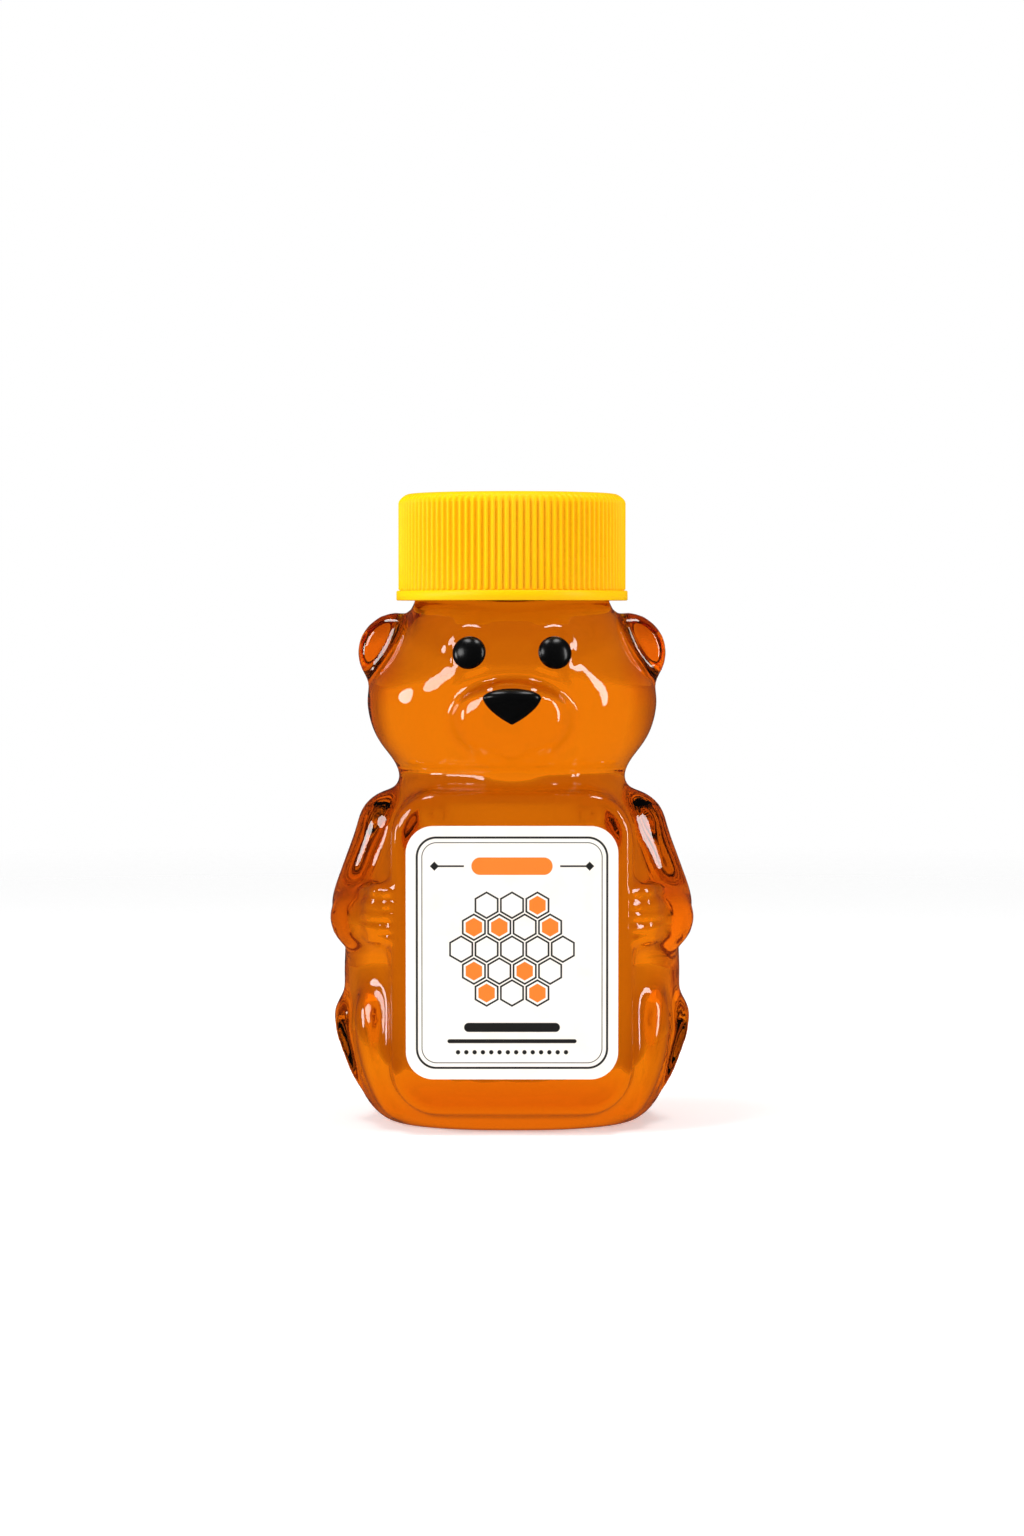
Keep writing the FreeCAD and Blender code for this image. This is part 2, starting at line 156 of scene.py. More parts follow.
# %% Softness of the skin
LEDGE, RIM, FILL_LEVEL = 57.4, 67.8, 62.5
PANEL_FRONT = -16.0
EYE, NOSE = Vector((4.65, -13.8, 52.4)), Vector((0, -16.6, 46.9))
EYE_SEAT, NOSE_SEAT = (2.2, 3.4), (2.6, 4.2)
UNDER_LEDGE, BEHIND_PANEL = (0.3, 2), (0.6, 1.6)
HEAD_FROM, FACE_FROM, FACE_KEPT = (37.6, 39), (4, 8), 0.25
ARM_HEIGHTS, ARM_ASIDE = (16, 19, 33, 36), (13, 16)
CHEEK_WIDTHS, CHEEK_HEIGHTS, CHEEK_FORWARD = (5.5, 7.5, 12.5, 14), (40, 43, 54.5, 56.5), (2, 5)


def share(value, low, high):
    """Where a value lies between two others, from 0 to 1 and eased at both ends."""
    part = min(max((value - low) / (high - low), 0), 1)
    return part * part * (3 - 2 * part)


def span(value, low, full, full_to, high):
    """1 between two inner values, eased to 0 at two outer ones."""
    return share(value, low, full) * share(high - value, 0, high - full_to)


def folded(point):
    """The point or its mirror image, whichever is on the +X side."""
    return Vector((abs(point.x), point.y, point.z))


def body_softness(point):
    seats = share((folded(point) - EYE).length, *EYE_SEAT) * share((point - NOSE).length, *NOSE_SEAT)
    below_neck = share(LEDGE - point.z, *UNDER_LEDGE)
    behind_panel = share(point.y - PANEL_FRONT, *BEHIND_PANEL)
    on_head = share(point.z, *HEAD_FROM)
    on_face = on_head * share(-point.y, *FACE_FROM)
    return below_neck * seats * max(behind_panel, on_head) * (1 - FACE_KEPT * on_face)


def arm_softness(point):
    return body_softness(point) * span(point.z, *ARM_HEIGHTS) * share(abs(point.x), *ARM_ASIDE)


def cheek_softness(point):
    on_cheek = span(abs(point.x), *CHEEK_WIDTHS) * span(point.z, *CHEEK_HEIGHTS)
    return body_softness(point) * on_cheek * share(-point.y, *CHEEK_FORWARD)


def softened(obj, steps, softness):
    """Smooth a mesh by the softness that each point's place in millimetres is given."""
    group = obj.vertex_groups.new(name="soft")
    for vertex in obj.data.vertices:
        group.add([vertex.index], softness(vertex.co / MM), "REPLACE")
    modified(obj, "SMOOTH", factor=0.5, iterations=steps, vertex_group="soft")
    obj.vertex_groups.clear()
    return obj


# %% [markdown]
# ## The blank of the bear
# Soft plastic is blown against the mould and bridges every crease with a round. The CAD solid has the
# right forms but meets itself in sharp lines. A voxel remesh turns the copy, with its mouth plugged and
# a few eggs to fill out the chin, shoulders, feet and ears, into one even skin of quads. A Smooth
# modifier then rounds the creases, with more steps on the arms and the cheeks.

# %% Remesh and soften the blank
SIDES = (1, -1)
BLANK_VOXEL = 0.45
PLUG_RADIUS, PLUG_HEIGHT = 10.1, 3
BODY_STEPS, ARM_STEPS, CHEEK_STEPS = 20, 30, 60
skin = joined([
    node_copy("bottle_shell", "bear_skin"),
    rod("plug", PLUG_RADIUS, RIM - PLUG_HEIGHT, RIM),
    egg("chin", (5.4, 3.2, 2.6), (0, -11.7, 40.7)),
    *(egg("shoulder", (5.0, 4.8, 4.6), (side * 12.5, -2.5, 32.7)) for side in SIDES),
    *(egg("foot", (3.0, 3.6, 7.8), (side * 14.0, -8.8, 8.2), (0, side * 14, 0)) for side in SIDES),
    *(egg("ear_filling", (3.3, 1.3, 3.3), (side * 13, -0.5, 52.3)) for side in SIDES),
])
modified(skin, "REMESH", mode="VOXEL", voxel_size=BLANK_VOXEL * MM)
softened(skin, BODY_STEPS, body_softness)
softened(skin, ARM_STEPS, arm_softness)
softened(skin, CHEEK_STEPS, cheek_softness)
print("blank:", len(skin.data.polygons), "faces")

# %% [markdown]
# ## Face
# The muzzle, the brows and the fold under the chin are soft forms with a clear edge. Solids would meet
# the head in hard lines again, so they are sculpted: points are pushed along their normals, in along a
# line round the muzzle and under the chin, and out on a round pad over each eye. The normals are copied
# first, because Blender works them all out again after each move.

# %% Sculpt the face
FRONT_FROM = (3, 7)
MUZZLE_UP, MUZZLE_HALF_WIDTH, MUZZLE_HALF_HEIGHT = 45.0, 7.3, 4.9
LINE_DEPTH, LINE_AT, LINE_WIDTH, LINE_FROM = 0.65, 1.06, 0.12, (40, 42)
ROUND_DEPTH, ROUND_AT, ROUND_WIDTH, NOSE_EDGE = 0.35, 0.75, 0.26, (2.8, 4.4)
BROW_ASIDE, BROW_UP, BROW_HALF_WIDTH, BROW_HALF_HEIGHT = 4.7, 53.6, 3.5, 2.3
BROW_RISE, BROW_EDGE, EYE_EDGE = 0.5, (0.4, 1.2), (2.1, 3.0)
FOLD_DEPTH, FOLD_UP, FOLD_WIDTH = 0.85, 39.2, 0.6
FACE_STEPS, FACE_UP = 4, (38, 40)


def bell(value, middle, width):
    return math.exp(-((value - middle) / width) ** 2)


def face_rise(point):
    """How far a point of the face moves out, in millimetres."""
    from_muzzle = math.hypot(point.x / MUZZLE_HALF_WIDTH, (point.z - MUZZLE_UP) / MUZZLE_HALF_HEIGHT)
    line = -LINE_DEPTH * bell(from_muzzle, LINE_AT, LINE_WIDTH) * share(point.z, *LINE_FROM)
    beside_nose = share((point - NOSE).length, *NOSE_EDGE)
    rounding = -ROUND_DEPTH * bell(from_muzzle, ROUND_AT, ROUND_WIDTH) * beside_nose
    from_brow = math.hypot(
        (abs(point.x) - BROW_ASIDE) / BROW_HALF_WIDTH, (point.z - BROW_UP) / BROW_HALF_HEIGHT)
    beside_eye = share((folded(point) - EYE).length, *EYE_EDGE)
    brow = BROW_RISE * (1 - share(from_brow, *BROW_EDGE)) * beside_eye
    chin_fold = -FOLD_DEPTH * bell(point.z, FOLD_UP, FOLD_WIDTH)
    return share(-point.y, *FRONT_FROM) * (line + rounding + brow + chin_fold)


normals = [vertex.normal.copy() for vertex in skin.data.vertices]
for vertex, normal in zip(skin.data.vertices, normals):
    vertex.co += normal * face_rise(vertex.co / MM) * MM
skin.data.update()
softened(skin, FACE_STEPS, lambda point: body_softness(point) * share(point.z, *FACE_UP))
print("face sculpted:", len(normals), "points")

# %% [markdown]
# ## The hollow and the honey in it
# A blown wall is about as thick everywhere, so the hollow follows the outside. It could come from the
# CAD honey, but that one has the sharp creases. Instead a copy of the soft blank is drawn in by the
# wall with a Displace modifier, cut off under the neck and joined to the neck's bore. The honey is the
# hollow again, cut level at the fill line and drawn in by a hair.

# %% Hollow and honey
WALL, HONEY_GAP, BORE_RADIUS = 0.9, 0.08, 9.4
HOLLOW_TOP, BORE_LOW, BORE_HIGH = LEDGE - 0.6, LEDGE - 3, RIM + 2
INSIDE_VOXEL, INSIDE_STEPS = 0.56, 4


def cut_level(obj, height):
    """Cut a closed mesh off at a height in millimetres and close it again."""
    select(obj)
    bpy.ops.object.mode_set(mode="EDIT")
    bpy.ops.mesh.select_all(action="SELECT")
    bpy.ops.mesh.bisect(
        plane_co=(0, 0, height * MM), plane_no=(0, 0, 1), use_fill=True, clear_outer=True)
    bpy.ops.object.mode_set(mode="OBJECT")
    return obj


def drawn_in(obj, depth):
    return modified(obj, "DISPLACE", strength=-depth * MM, mid_level=0)


hollow = cut_level(drawn_in(twin(skin, "hollow"), WALL), HOLLOW_TOP)
hollow = joined([hollow, rod("bore", BORE_RADIUS, BORE_LOW, BORE_HIGH)])
modified(hollow, "REMESH", mode="VOXEL", voxel_size=INSIDE_VOXEL * MM)
softened(hollow, INSIDE_STEPS, lambda point: share(LEDGE - point.z, *UNDER_LEDGE))
honey = drawn_in(cut_level(twin(hollow, "honey"), FILL_LEVEL), HONEY_GAP)
print("hollow:", len(hollow.data.polygons), "faces, honey:", len(honey.data.polygons), "faces")

# %% [markdown]
# ## Ridges that lie on the skin
# Toes, fingers and the lip are moulded as low round ridges. Bump in the material would leave the outline
# smooth, so each is a path of five points with a round bevel. To lie on the skin its points are found
# by casting rays at the blank, as a modeller would snap to it, and it is sunk so that only its back shows.

# %% One ridge
RIDGE_TAPER = (0.35, 0.9, 1, 0.9, 0.35)
blank_tree = BVHTree.FromObject(skin, bpy.context.evaluated_depsgraph_get())


def ridge(name, starts, heading, radius, sunk):
    """Rounded ridge over the places where rays from five starts, in millimetres, meet the skin."""
    select()
    bpy.ops.curve.primitive_nurbs_path_add(radius=MM)
    obj = bpy.context.object
    obj.name = name
    curve = obj.data
    curve.bevel_depth = radius * MM
    curve.bevel_resolution = 3
    curve.resolution_u = 6
    curve.use_fill_caps = True
    spline = curve.splines[0]
    spline.order_u = 3
    for point, start, thickness in zip(spline.points, starts, RIDGE_TAPER):
        way = Vector(heading(start)).normalized()
        hit = blank_tree.ray_cast(Vector(start) * MM, way)[0]
        point.co = (*(hit + way * sunk * MM), 1)
        point.radius = thickness
    bpy.ops.object.convert(target="MESH")
    return settled(name)


def straight_back(start):
    return (0, 1, 0)


def to_axis(start):
    return (-start[0], -start[1], 0)


# %% [markdown]
# ## Toes, fingers and lip
# Each foot has three long toes that fan out round the base, each hand five short fingers that reach for
# the belly panel, and the muzzle one small lip. They come after the smoothing, which would wipe them out.

# %% Ridges on the skin
RAY_START = 40
TOE_TURNS, TOE_TOP, TOE_STEP, TOE_LEVELS = (21, 11.5, 2), 14.6, 0.5, (11.8, 8.2, 4.6, 1.2)
TOE_RADIUS, TOE_SUNK = 0.95, 0.3
FINGER_LEVELS, FINGER_REACH = (21.3, 22.5, 23.8, 25.0, 26.5), (12.9, 13.8, 14.7, 15.6, 16.4)
FINGER_RADIUS, FINGER_GROWTH, FINGER_SUNK = 0.68, 0.06, 0.15
LIP_REACH, LIP_UP, LIP_CURL, LIP_RADIUS, LIP_SUNK = (-1.5, -0.8, 0, 0.8, 1.5), 41.8, 0.15, 1.0, 0.25
relief = []
for side in SIDES:
    for number, turn in enumerate(TOE_TURNS):
        across = side * RAY_START * math.cos(math.radians(turn))
        forward = -RAY_START * math.sin(math.radians(turn))
        starts = [(across, forward, rise) for rise in (TOE_TOP - number * TOE_STEP, *TOE_LEVELS)]
        relief.append(ridge(f"toe_{number}", starts, to_axis, TOE_RADIUS, TOE_SUNK))
    for number, rise in enumerate(FINGER_LEVELS):
        starts = [(side * across, -RAY_START, rise) for across in FINGER_REACH]
        radius = FINGER_RADIUS + FINGER_GROWTH * number
        relief.append(ridge(f"finger_{number}", starts, straight_back, radius, FINGER_SUNK))
starts = [(across, -RAY_START, LIP_UP + abs(across) * LIP_CURL) for across in LIP_REACH]
relief.append(ridge("lip", starts, straight_back, LIP_RADIUS, LIP_SUNK))
print("ridges:", len(relief))

# %% [markdown]
# ## Thread and spots
# The neck's thread could be a bevelled curve, but a Screw modifier that sweeps a small circle up a helix
# keeps the section upright. The two moulded spots above the label are low rings.

# %% Thread and spots
PITCH, STEPS_PER_TURN = 3.175, 96
SPOT_ASIDE, SPOT_UP, SPOT_RADIUS, SPOT_SECTION, SPOT_SUNK = 8.4, 34.9, 0.75, 0.4, 0.1


def helix(name, radius, section, start, turns):
    """Thread: a small circle swept up a helix and closed at both ends."""
    select()
    bpy.ops.mesh.primitive_circle_add(
        vertices=12, radius=section * MM, location=(radius * MM, 0, start * MM), rotation=(math.pi / 2, 0, 0))
    obj = settled(name)
    steps = int(turns * STEPS_PER_TURN)
    modified(obj, "SCREW", axis="Z", angle=turns * 2 * math.pi, screw_offset=turns * PITCH * MM,
             steps=steps, render_steps=steps)
    bpy.ops.object.mode_set(mode="EDIT")
    bpy.ops.mesh.select_all(action="SELECT")
    bpy.ops.mesh.fill_holes(sides=0)
    bpy.ops.mesh.normals_make_consistent(inside=False)
    bpy.ops.object.mode_set(mode="OBJECT")
    return obj


relief.append(helix("neck_thread", radius=10.95, section=0.75, start=60.6, turns=1.4))
for side in SIDES:
    select()
    bpy.ops.mesh.primitive_torus_add(
        major_segments=32, minor_segments=10, major_radius=SPOT_RADIUS * MM, minor_radius=SPOT_SECTION * MM,
        location=Vector((side * SPOT_ASIDE, PANEL_FRONT + SPOT_SUNK, SPOT_UP)) * MM,
        rotation=(math.pi / 2, 0, 0))
    relief.append(settled("panel_spot"))
print("relief pieces:", len(relief))

# %% [markdown]
# ## One skin again
# On the real bottle all of this is one wall. A second, finer remesh makes the relief one with the blank,
# and a Boolean then cuts the hollow out of it.

# %% Join the relief and cut the hollow
SKIN_VOXEL, SKIN_STEPS = 0.42, 2
skin = joined([skin] + relief)
modified(skin, "REMESH", mode="VOXEL", voxel_size=SKIN_VOXEL * MM)
softened(skin, SKIN_STEPS, body_softness)
modified(skin, "BOOLEAN", operation="DIFFERENCE", object=hollow, solver="MANIFOLD")
print("bear skin:", len(skin.data.polygons), "faces")

# %% [markdown]
# ## Which faces are wet
# Plastic and honey bend light almost alike, so where they touch nothing shows. The wet part of the
# inner wall therefore gets a finish that lets light straight on, and so do the honey's sides. The dry
# wall above the honey and its open top keep their own gloss.

# %% Sort the faces of the skin and the honey
OUTSIDE, WET_WALL = 0, 1
HONEY_SIDE, HONEY_TOP = 0, 1
TOUCHING, TOP_DEPTH = 0.05, 0.3
for piece in (skin, honey):
    piece.data.materials.clear()
hollow_tree = BVHTree.FromObject(hollow, bpy.context.evaluated_depsgraph_get())
for face in skin.data.polygons:
    inside = hollow_tree.find_nearest(face.center, TOUCHING * MM)[0] is not None
    face.material_index = WET_WALL if inside and face.center.z < FILL_LEVEL * MM else OUTSIDE
for face in honey.data.polygons:
    face.material_index = HONEY_TOP if face.center.z > (FILL_LEVEL - TOP_DEPTH) * MM else HONEY_SIDE
bpy.data.objects.remove(hollow)
for piece in (skin, honey):
    select(piece)
    bpy.ops.object.shade_smooth()
print("wet faces:", sum(face.material_index == WET_WALL for face in skin.data.polygons))

# %% [markdown]
# ## Nose
# The nose is a soft black triangle with a full, domed face, seated where the CAD plate is. It starts as
# a ball. Its upper half is pressed flat into an arch, its lower half is drawn down and squeezed to a
# point, and its back is flattened against the muzzle. Subdivision then evens it out.

# %% Nose
NOSE_HALF_WIDTH, NOSE_TOP, NOSE_WIDEST, NOSE_POINT = 3.25, 48.6, 47.5, 44.65
NOSE_FRONT, NOSE_BACK = 1.2, 1.1
NOSE_TAPER, NOSE_ROUND, NEAR_POINT = 1.5, 0.9, 0.999
nose = egg("domed_nose", (1, 1, 1), (0, 0, 0))
for vertex in nose.data.vertices:
    across, back, rise = vertex.co / MM
    level, squeeze = NOSE_WIDEST + rise * (NOSE_TOP - NOSE_WIDEST), 1
    if rise < 0:
        fall = min(-rise, NEAR_POINT)
        level = NOSE_WIDEST - fall * (NOSE_WIDEST - NOSE_POINT)
        squeeze = (1 - fall ** NOSE_TAPER) ** NOSE_ROUND / math.sqrt(1 - fall ** 2)
    depth = NOSE_FRONT if back < 0 else NOSE_BACK
    vertex.co = Vector((across * NOSE_HALF_WIDTH * squeeze, NOSE.y + back * depth * squeeze, level)) * MM
modified(nose, "SUBSURF", levels=2, render_levels=2)
select(nose)
bpy.ops.object.shade_smooth()
print("nose:", len(nose.data.polygons), "faces")

# %% [markdown]
# ## Cap
# The cap is moulded with a plain flange below, a ribbed skirt and a rounded top edge. A cylinder could
# be inset and bevelled into it, but half of its section says it all. The section is drawn once by
# extruding one point, and Spin turns it about the axis in eight steps for each rib.

# %% Section of the cap
RIBS, STEPS_PER_RIB = 105, 8
CAP_LOW, CAP_HIGH, CAP_UNDER = 58.1, 70.0, 68.7
SKIRT, CAP_BORE, FLANGE, CAP_EDGE = 12.5, 11.9, 12.95, 1.1
FLANGE_HEIGHT, FLANGE_EDGE = 1.0, 0.1
FLANGE_TOP = CAP_LOW + FLANGE_HEIGHT
SKIRT_FOOT, SKIRT_LEVELS = (SKIRT + 0.05, CAP_LOW + 1.12), (CAP_LOW + 1.25, 63.0, 67.0)
EDGE_TURNS = [math.radians(angle) for angle in (0, 15, 30, 45, 60, 75, 90)]
section = [(CAP_BORE, CAP_UNDER), (CAP_BORE, CAP_LOW)]
section += [(FLANGE - FLANGE_EDGE, CAP_LOW), (FLANGE, CAP_LOW + FLANGE_EDGE)]
section += [(FLANGE, FLANGE_TOP), (FLANGE - FLANGE_EDGE, FLANGE_TOP + FLANGE_EDGE)]
section += [SKIRT_FOOT, *((SKIRT, level) for level in SKIRT_LEVELS)]
section += [(SKIRT - CAP_EDGE * (1 - math.cos(turn)), CAP_HIGH - CAP_EDGE * (1 - math.sin(turn)))
            for turn in EDGE_TURNS]
section += [(0, CAP_HIGH)]
print("cap section:", len(section), "points")

# %% [markdown]
# ## Turning the section
# Merging a small plane at its centre leaves the one point that the extrusions start from. After Spin the
# first and last turn lie on each other, so doubles are merged and the normals are made to point outwards.

# %% Spin the cap
SEAM = 0.002
select()
bpy.ops.mesh.primitive_plane_add(size=MM)
cap = bpy.context.object
cap.name = "ribbed_cap"
bpy.ops.object.mode_set(mode="EDIT")
bpy.ops.mesh.select_all(action="SELECT")
bpy.ops.mesh.merge(type="CENTER")
bpy.ops.transform.translate(value=(0, 0, CAP_UNDER * MM))
reach = (0, CAP_UNDER)
for radius, level in section:
    bpy.ops.mesh.extrude_region_move(
        TRANSFORM_OT_translate={"value": ((radius - reach[0]) * MM, 0, (level - reach[1]) * MM)})
    reach = (radius, level)
bpy.ops.mesh.select_all(action="SELECT")
bpy.ops.mesh.spin(steps=RIBS * STEPS_PER_RIB, angle=2 * math.pi, center=(0, 0, 0), axis=(0, 0, 1))
bpy.ops.mesh.select_all(action="SELECT")
bpy.ops.mesh.remove_doubles(threshold=SEAM * MM)
bpy.ops.mesh.normals_make_consistent(inside=False)
bpy.ops.object.mode_set(mode="OBJECT")
print("cap blank:", len(cap.data.polygons), "faces")

# %% [markdown]
# ## Ribs of the cap
# The ribs give grip. They are fine and round, and die out in the rounded top edge. The CAD cap has plain
# wedges, and a separate rod for each rib would leave a crease at its foot. Here the skirt's own points
# move in and out along a cosine, less and less as the top edge curls in.

# %% Raise the ribs
RIB_RISE, RIB_SINK, RIB_START, RIB_FADE, RIB_END = 0.28, 0.2, 1.2, 0.9, 0.1
for vertex in cap.data.vertices:
    away = math.hypot(vertex.co.x, vertex.co.y) / MM
    level = vertex.co.z / MM
    on_skirt = CAP_LOW + RIB_START < level and away > CAP_BORE + 0.1
    if not on_skirt:
        continue
    height = share(CAP_HIGH - RIB_END - level, 0, RIB_FADE)
    crest = 0.5 + 0.5 * math.cos(RIBS * math.atan2(vertex.co.y, vertex.co.x))
    stretch = 1 + RIB_RISE * height * (crest - RIB_SINK) / away
    vertex.co.x *= stretch
    vertex.co.y *= stretch
select(cap)
bpy.ops.object.shade_smooth_by_angle(angle=math.radians(50))
print("cap:", len(cap.data.polygons), "faces")

# %% [markdown]
# ## Thread in the cap
# The cap's own thread is a helix like the neck's, a little lower and sunk in the skirt. It stays a mesh
# of its own that rides on the cap, because a Boolean with the fine ribs would gain nothing.

# %% Cap thread
cap_thread = helix("cap_thread", radius=11.8, section=0.7, start=59.9, turns=1.3)
select(cap_thread)
bpy.ops.object.shade_smooth()
print("cap thread:", len(cap_thread.data.polygons), "faces")

# %% [markdown]
# ## Shader maths in Python
# A material is a network of nodes. This small class wraps one output, so that sums and products
# of outputs can be written as expressions, and one method adds any other node.

# %% Wires between shader nodes
class Wire:
    """Output of a shader node. Arithmetic with it adds Math nodes to its tree."""

    def __init__(self, tree, socket=None):
        self.tree = tree
        self.socket = socket

    def node(self, kind, output=0, inputs=None, **settings):
        node = self.tree.nodes.new(f"ShaderNode{kind}")
        for name, value in settings.items():
            setattr(node, name, value)
        for key, value in (inputs or {}).items():
            if isinstance(value, Wire):
                self.tree.links.new(value.socket, node.inputs[key])
            else:
                node.inputs[key].default_value = value
        return Wire(self.tree, node.outputs[output])

    def maths(self, operation, first, second=0.0, clamped=False):
        return self.node("Math", inputs={0: first, 1: second}, operation=operation, use_clamp=clamped)

    def __add__(self, other):
        return self.maths("ADD", self, other)

    def __sub__(self, other):
        return self.maths("SUBTRACT", self, other)

    def __rsub__(self, other):
        return self.maths("SUBTRACT", other, self)

    def __mul__(self, other):
        return self.maths("MULTIPLY", self, other)

    def __lt__(self, other):
        return self.maths("LESS_THAN", self, other)

    def __gt__(self, other):
        return self.maths("GREATER_THAN", self, other)

    def __or__(self, other):
        return self.maths("MAXIMUM", self, other)

    def __abs__(self):
        return self.maths("ABSOLUTE", self)

    def root(self):
        return self.maths("SQRT", self)

    def above_half(self):
        """0 to 1 over a step of 1 about nought."""
        return self.maths("ADD", self, 0.5, clamped=True)

    def ramp(self, low, high, start=0.0, end=1.0):
        """From start to end as this goes from low to high, and level beyond."""
        return self.node("MapRange", inputs={
            "Value": self, "From Min": low, "From Max": high, "To Min": start, "To Max": end})

    def mix(self, colour, other):
        """The colour where this is 0, and the other where it is 1."""
        return self.node("Mix", output=2, inputs={0: self, 6: colour, 7: other}, data_type="RGBA")

    __radd__ = __add__
    __rmul__ = __mul__


# %% [markdown]
# ## Starting a finish
# Values that are the same all over a surface are set on the shader's own sockets, and only what changes
# comes by a wire. Every pattern reads the place on the piece from its object's own axes, so that it
# stays put when the piece moves.

# %% Helpers for finishes
X, Y, Z = 0, 1, 2


def finish(name, **plain):
    """New material with these plain values. Returns it, its shader and a wire to build with."""
    material = bpy.data.materials.new(name)
    material.use_nodes = True
    shader = material.node_tree.nodes["Principled BSDF"]
    for socket, value in plain.items():
        shader.inputs[socket.replace("_", " ")].default_value = value
    return material, shader, Wire(material.node_tree)


def feed(shader, **wires):
    for socket, wire in wires.items():
        wire.tree.links.new(wire.socket, shader.inputs[socket.replace("_", " ")])


def place_of(wire):
    return wire.node("TexCoord", output="Object")


def place_along(wire, axis):
    return wire.node("SeparateXYZ", output=axis, inputs={0: place_of(wire)})


def length_of(first, second):
    return (first * first + second * second).root()


def noise(wire, scale, detail=2.0, roughness=0.5):
    return wire.node("TexNoise", inputs={
        "Vector": place_of(wire), "Scale": scale, "Detail": detail, "Roughness": roughness})


def bumped(wire, height, strength, distance):
    return wire.node("Bump", inputs={"Height": height, "Strength": strength, "Distance": distance})


# %% [markdown]
# ## Clear plastic
# The bottle is clear plastic, warm from what it holds. Its tint deepens in the ears, and towards the base
# it deepens as a painted shade. Blown plastic is never quite flat, so a slow noise moves its normals a
# little.

# %% Finish of the bottle
WHITE, BLACK = (1, 1, 1, 1), (0, 0, 0, 1)
THIN_TINT, EAR_TINT_AND_BASE_SHADE = (0.96, 0.28, 0.004, 1), (0.82, 0.13, 0.002, 1)
EAR_ASIDE, EAR_UP, BASE_SHADE_DOWN, BASE_SHADE_SHARE = (11.5 * MM, 14 * MM), (46 * MM, 50 * MM), (7 * MM, 2 * MM), 0.8
PLASTIC_IOR, HONEY_IOR, NO_BEND = 1.5, 1.49, 1.0


def clear_finish(name, tint, ior):
    return finish(name, Base_Color=tint, Roughness=0.02, IOR=ior, Transmission_Weight=1.0)


plastic, plastic_shader, wire = clear_finish("clear_plastic", THIN_TINT, PLASTIC_IOR)
in_ear = abs(place_along(wire, X)).ramp(*EAR_ASIDE) * place_along(wire, Z).ramp(*EAR_UP)
# Painted shade: the tint darkens towards the base of the bottle.
base_shade = place_along(wire, Z).ramp(*BASE_SHADE_DOWN)
feed(plastic_shader, Base_Color=(in_ear | base_shade * BASE_SHADE_SHARE).mix(THIN_TINT, EAR_TINT_AND_BASE_SHADE),
     Normal=bumped(wire, noise(wire, 160), 0.06, 0.5 * MM))
wet_plastic = clear_finish("wet_plastic", WHITE, NO_BEND)[0]
for material in (plastic, wet_plastic):
    skin.data.materials.append(material)
print("bottle finishes:", plastic.name, wet_plastic.name)

# %% [markdown]
# ## Honey
# Honey takes its colour from its depth, so a tint on its surface wouldn't do. An absorption volume eats
# blue first, then green, so that thin parts glow yellow and thick parts turn brown.

# %% Finish of the honey
AMBER, AMBER_DENSITY = (0.90, 0.60, 0.0, 1), 32
honey_side = clear_finish("honey_side", WHITE, NO_BEND)[0]
honey_top = clear_finish("honey_top", WHITE, HONEY_IOR)[0]
for material in (honey_side, honey_top):
    tree = material.node_tree
    amber = tree.nodes.new("ShaderNodeVolumeAbsorption")
    amber.inputs["Color"].default_value = AMBER
    amber.inputs["Density"].default_value = AMBER_DENSITY
    tree.links.new(amber.outputs[0], tree.nodes["Material Output"].inputs["Volume"])
    honey.data.materials.append(material)
print("honey finishes:", honey_side.name, honey_top.name)

# %% [markdown]
# ## Cap, liner, eyes and nose
# The cap is moulded yellow plastic with a satin gloss and a very fine grain. Its grooves are given a painted
# shade, a deeper yellow that follows the distance from the axis. The liner is pale foam board. Eyes and
# nose are black, and as glossy as wet paint.

# %% Finishes of the rigid pieces
CREST_YELLOW, GROOVE_SHADE_YELLOW = (0.99, 0.53, 0.0, 1), (0.94, 0.42, 0.0, 1)
CREST, GROOVE = (SKIRT + 0.16) * MM, (SKIRT - 0.06) * MM
yellow, yellow_shader, wire = finish(
    "yellow_plastic", Specular_IOR_Level=0.1, Subsurface_Weight=0.1,
    Subsurface_Radius=(1, 0.5, 0.1), Subsurface_Scale=1 * MM)
# Painted shade: the grooves between the ribs are coloured a deeper yellow than the crests.
groove_shade = length_of(place_along(wire, X), place_along(wire, Y)).ramp(CREST, GROOVE)
groove_shade = groove_shade * (place_along(wire, Z) < (CAP_HIGH - CAP_EDGE) * MM)
feed(yellow_shader, Base_Color=groove_shade.mix(CREST_YELLOW, GROOVE_SHADE_YELLOW),
     Roughness=0.34 + noise(wire, 700) * 0.12)
board, board_shader, wire = finish("liner_board", Base_Color=(0.85, 0.83, 0.78, 1), Roughness=0.8)
feed(board_shader, Normal=bumped(wire, noise(wire, 4000), 0.3, 0.05 * MM))
black, black_shader, wire = finish(
    "black_gloss", Base_Color=(0.002, 0.002, 0.0022, 1), Specular_IOR_Level=0.22)
feed(black_shader, Roughness=0.17 + noise(wire, 900) * 0.1,
     Normal=bumped(wire, noise(wire, 600), 0.05, 0.1 * MM))
print("rigid finishes:", yellow.name, board.name, black.name)

# %% [markdown]
# ## The paper label
# Warm white paper, a little cloudy, printed in black and one orange. The print is a plain patch of
# honeycomb with bars and rules, drawn by sums over the place on the paper in millimetres. Each shape is
# a distance that is below nought inside it, and a short ramp at nought gives the ink its edge.

# %% Places and shapes on the label
LABEL_MIDDLE, INK_EDGE, PER_METRE = 19.95, 0.05, 1000
paper, paper_shader, wire = finish("label_paper", Roughness=0.55)
across = place_along(wire, X) * PER_METRE
up = place_along(wire, Z) * PER_METRE - LABEL_MIDDLE


def inked(distance):
    """1 where the distance is below nought."""
    return wire.maths("MULTIPLY", distance, -1 / INK_EDGE).above_half()


def stroke(distance, width):
    return inked(abs(distance) - width / 2)


